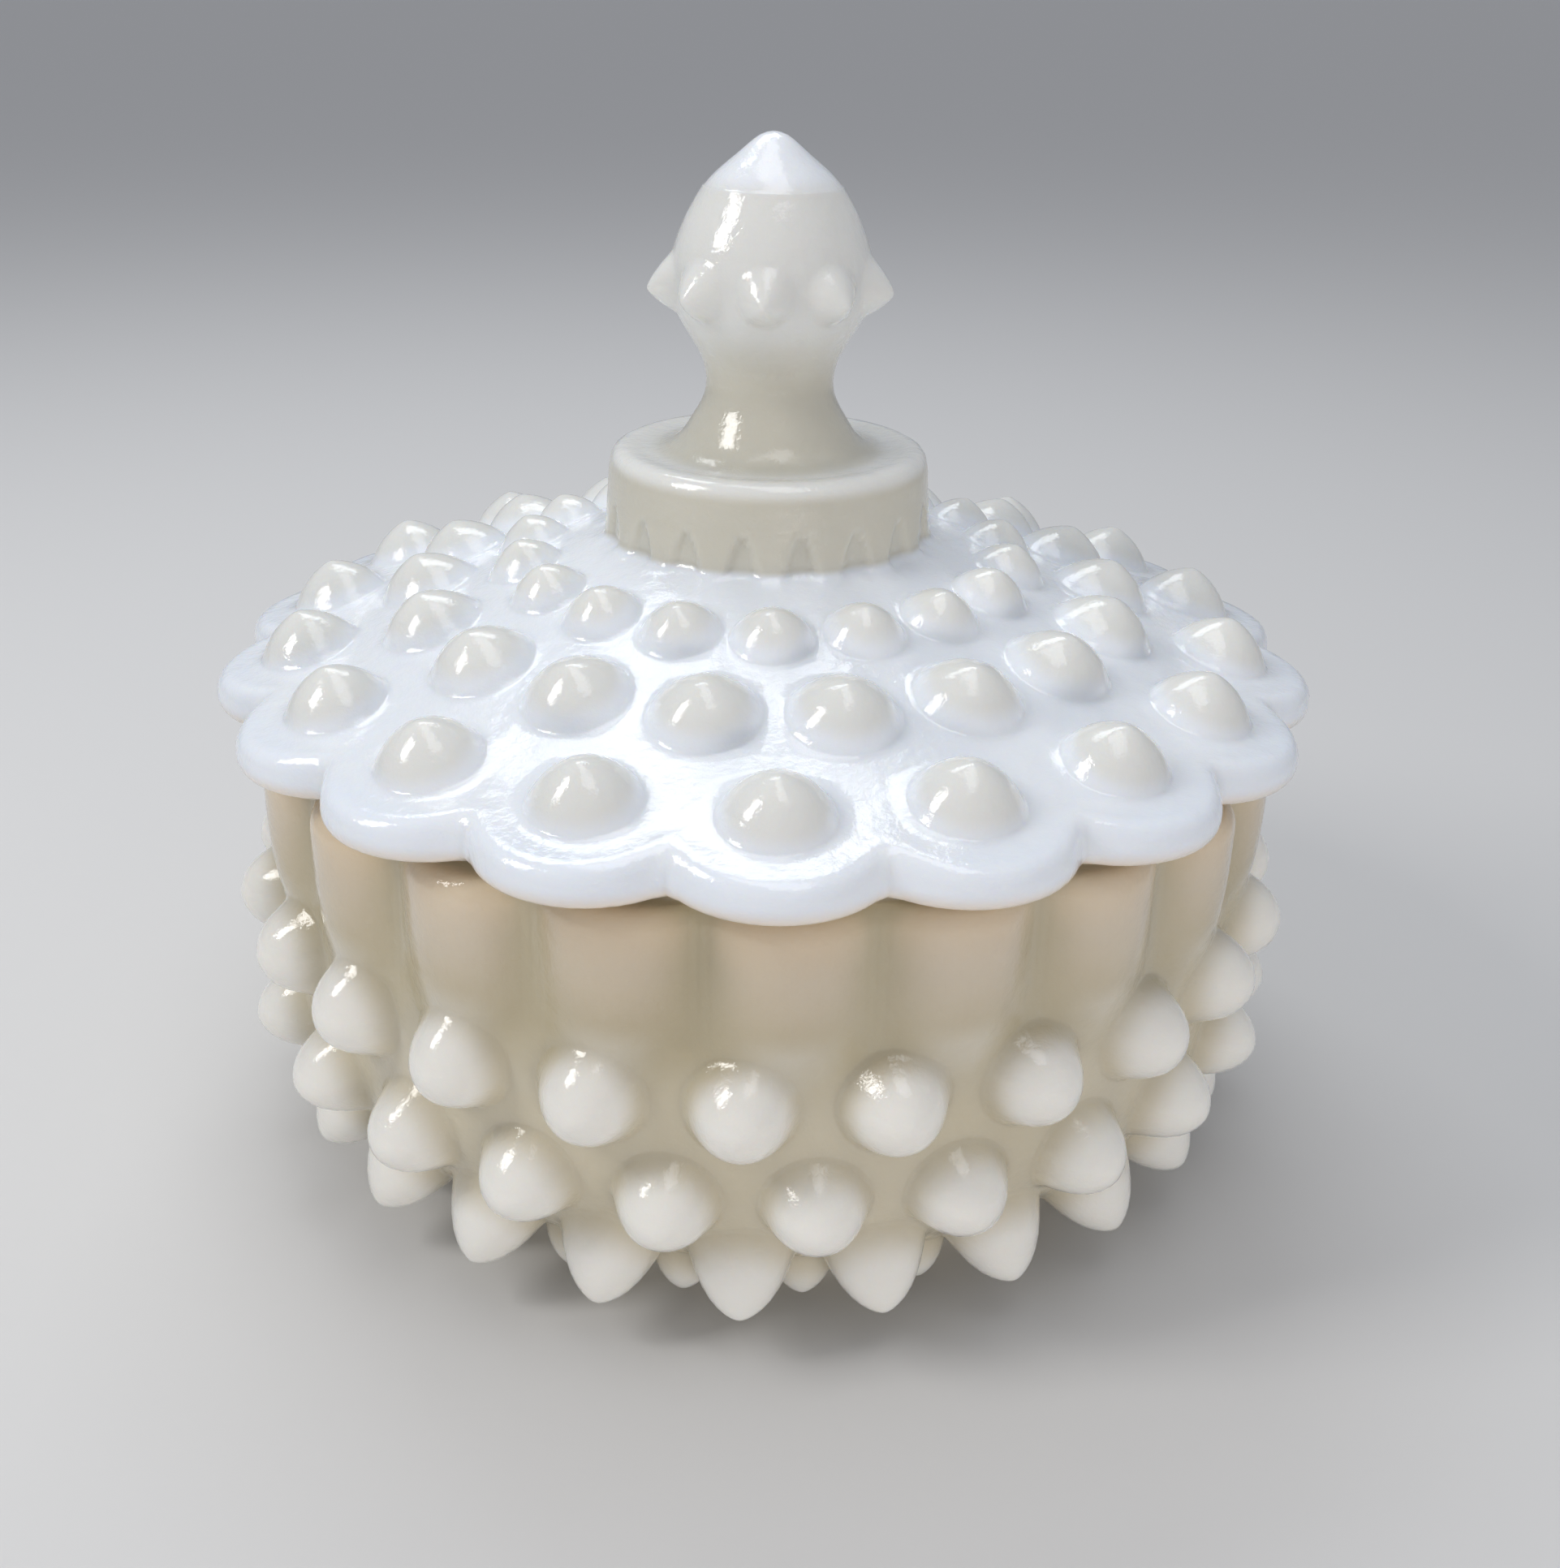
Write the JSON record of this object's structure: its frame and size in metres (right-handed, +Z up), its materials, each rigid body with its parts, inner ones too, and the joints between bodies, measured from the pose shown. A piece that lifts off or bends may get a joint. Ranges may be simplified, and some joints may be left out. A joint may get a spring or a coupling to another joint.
{
  "type": "covered cream jar",
  "caption": "Pressed opal glass cream jar: a hobnail bowl closed by a scalloped, lift-off hobnail lid with a spired knob.",
  "frame": {"origin": "on the turning axis, in the plane of the foot ring's resting face", "axes": "+Z up along the turning axis, from the foot to the knob; -Y is the side seen from the front, with a hob of the bowl's top row on it"},
  "size_m": [0.1654, 0.1658, 0.1532],
  "materials": {
    "bowl_glass": "glossy opal",
    "lid_glass": "glossy opal"
  },
  "bodies": {
    "bowl": {"bowl": "bowl_glass"},
    "lid": {"lid": "lid_glass"}
  },
  "joints": [
    {"name": "lid_lift", "type": "slide", "parent": "bowl", "child": "lid", "axis": [0, 0, 1], "range_m": [0, 0.06]}
  ]
}
